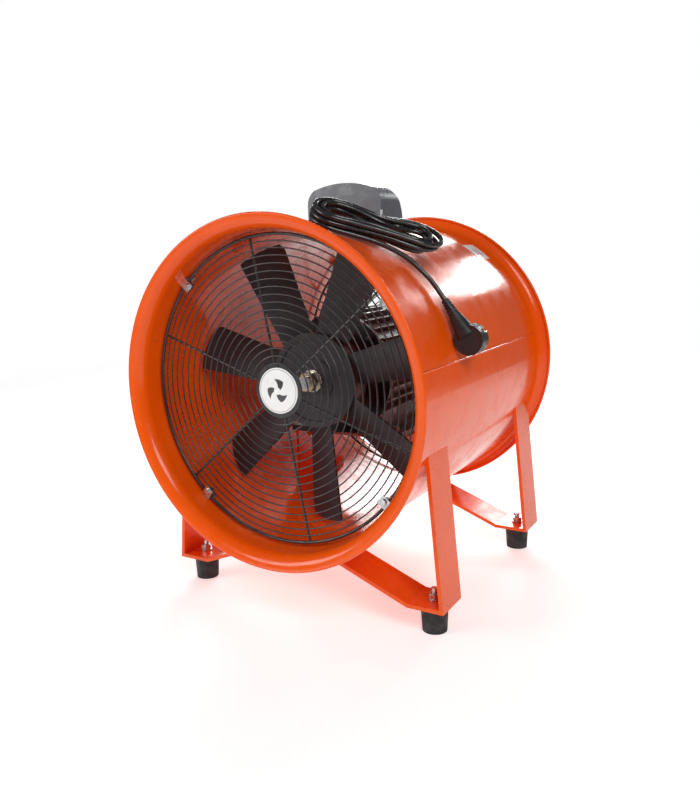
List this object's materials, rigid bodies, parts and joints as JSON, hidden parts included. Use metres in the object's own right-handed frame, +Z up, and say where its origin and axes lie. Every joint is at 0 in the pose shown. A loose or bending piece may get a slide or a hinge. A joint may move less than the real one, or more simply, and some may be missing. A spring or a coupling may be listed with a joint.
{
  "type": "portable axial ventilation fan",
  "caption": "Portable axial blower: flared drum on strap legs with wire guards, a direct-drive motor, a switch box and a tied mains lead with plug.",
  "frame": {"origin": "on the floor, below the middle of the drum's axis", "axes": "+Z up, +Y the way the air blows (inlet faces -Y), +X across, the side where the plug hangs"},
  "size_m": [0.4538, 0.455, 0.56],
  "materials": {
    "orange_paint": "gloss orange powder coat with light scuffs",
    "guard_coating": "semi-gloss black coating on wire",
    "impeller_paint": "satin black paint",
    "motor_aluminium": "cast, light grey, dusty",
    "shield_iron": "satin dark grey paint",
    "machined_steel": "turned",
    "copper_winding": "varnished copper wire",
    "zinc_plate": "bright zinc plate",
    "yellow_zinc": "yellow zinc plate",
    "foot_rubber": "matt black",
    "white_plastic": "gloss white",
    "black_plastic": "black, gloss in front and finely grained at the ends",
    "red_plastic": "gloss red",
    "capacitor_can": "off-white",
    "label_film": "printed film",
    "tie_plastic": "translucent white",
    "cord_rubber": "black sheath, slight sheen",
    "plug_plastic": "moulded black",
    "pin_nickel": "nickel plate"
  },
  "bodies": {
    "frame": {"drum_casing": "orange_paint", "front_left_upright": "orange_paint", "front_right_upright": "orange_paint", "rear_left_upright": "orange_paint", "rear_right_upright": "orange_paint", "front_leg_base": "orange_paint", "rear_leg_base": "orange_paint", "front_left_foot": "foot_rubber", "front_right_foot": "foot_rubber", "rear_left_foot": "foot_rubber", "rear_right_foot": "foot_rubber", "foot_bolts": "zinc_plate", "foot_nuts": "zinc_plate", "front_guard": "guard_coating", "guard_badge": "white_plastic", "rear_guard": "guard_coating", "front_guard_clips": "zinc_plate", "rear_guard_clips": "zinc_plate", "guard_screws": "zinc_plate", "guard_nuts": "zinc_plate", "motor_bracket": "orange_paint", "motor_housing": "motor_aluminium", "front_end_shield": "shield_iron", "rear_end_shield": "shield_iron", "stator_core": "machined_steel", "stator_winding": "copper_winding", "front_bearing": "zinc_plate", "rear_bearing": "zinc_plate", "motor_foot_bolts": "zinc_plate", "shield_screws": "zinc_plate", "motor_lead": "cord_rubber", "lead_grommet": "foot_rubber", "switch_box_base": "black_plastic", "switch_box_cover": "black_plastic", "box_screws": "zinc_plate", "switch_body": "black_plastic", "run_capacitor": "capacitor_can", "gland_body": "black_plastic", "gland_nut": "black_plastic", "rating_label": "label_film", "cord_tail": "cord_rubber", "cord_hank": "cord_rubber", "hank_tie": "tie_plastic", "cord_lead": "cord_rubber", "plug_body": "plug_plastic", "plug_pins": "pin_nickel"},
    "impeller": {"motor_shaft": "machined_steel", "rotor_core": "machined_steel", "impeller_hub": "impeller_paint", "fan_blade_1": "impeller_paint", "fan_blade_2": "impeller_paint", "fan_blade_3": "impeller_paint", "fan_blade_4": "impeller_paint", "fan_blade_5": "impeller_paint", "fan_blade_6": "impeller_paint", "fan_blade_7": "impeller_paint", "shaft_key": "zinc_plate", "hub_washer": "zinc_plate", "hub_nut": "yellow_zinc"},
    "rocker": {"switch_rocker": "red_plastic"}
  },
  "joints": [
    {"name": "impeller_spin", "type": "hinge", "parent": "frame", "child": "impeller", "pos_m": [0, -0.0935, 0.297], "axis": [0, -1, 0], "continuous": true},
    {"name": "rocker_tilt", "type": "hinge", "parent": "frame", "child": "rocker", "pos_m": [-0.054, 0.0145, 0.525], "axis": [0, 0, -1], "range_deg": [0, 24]}
  ]
}
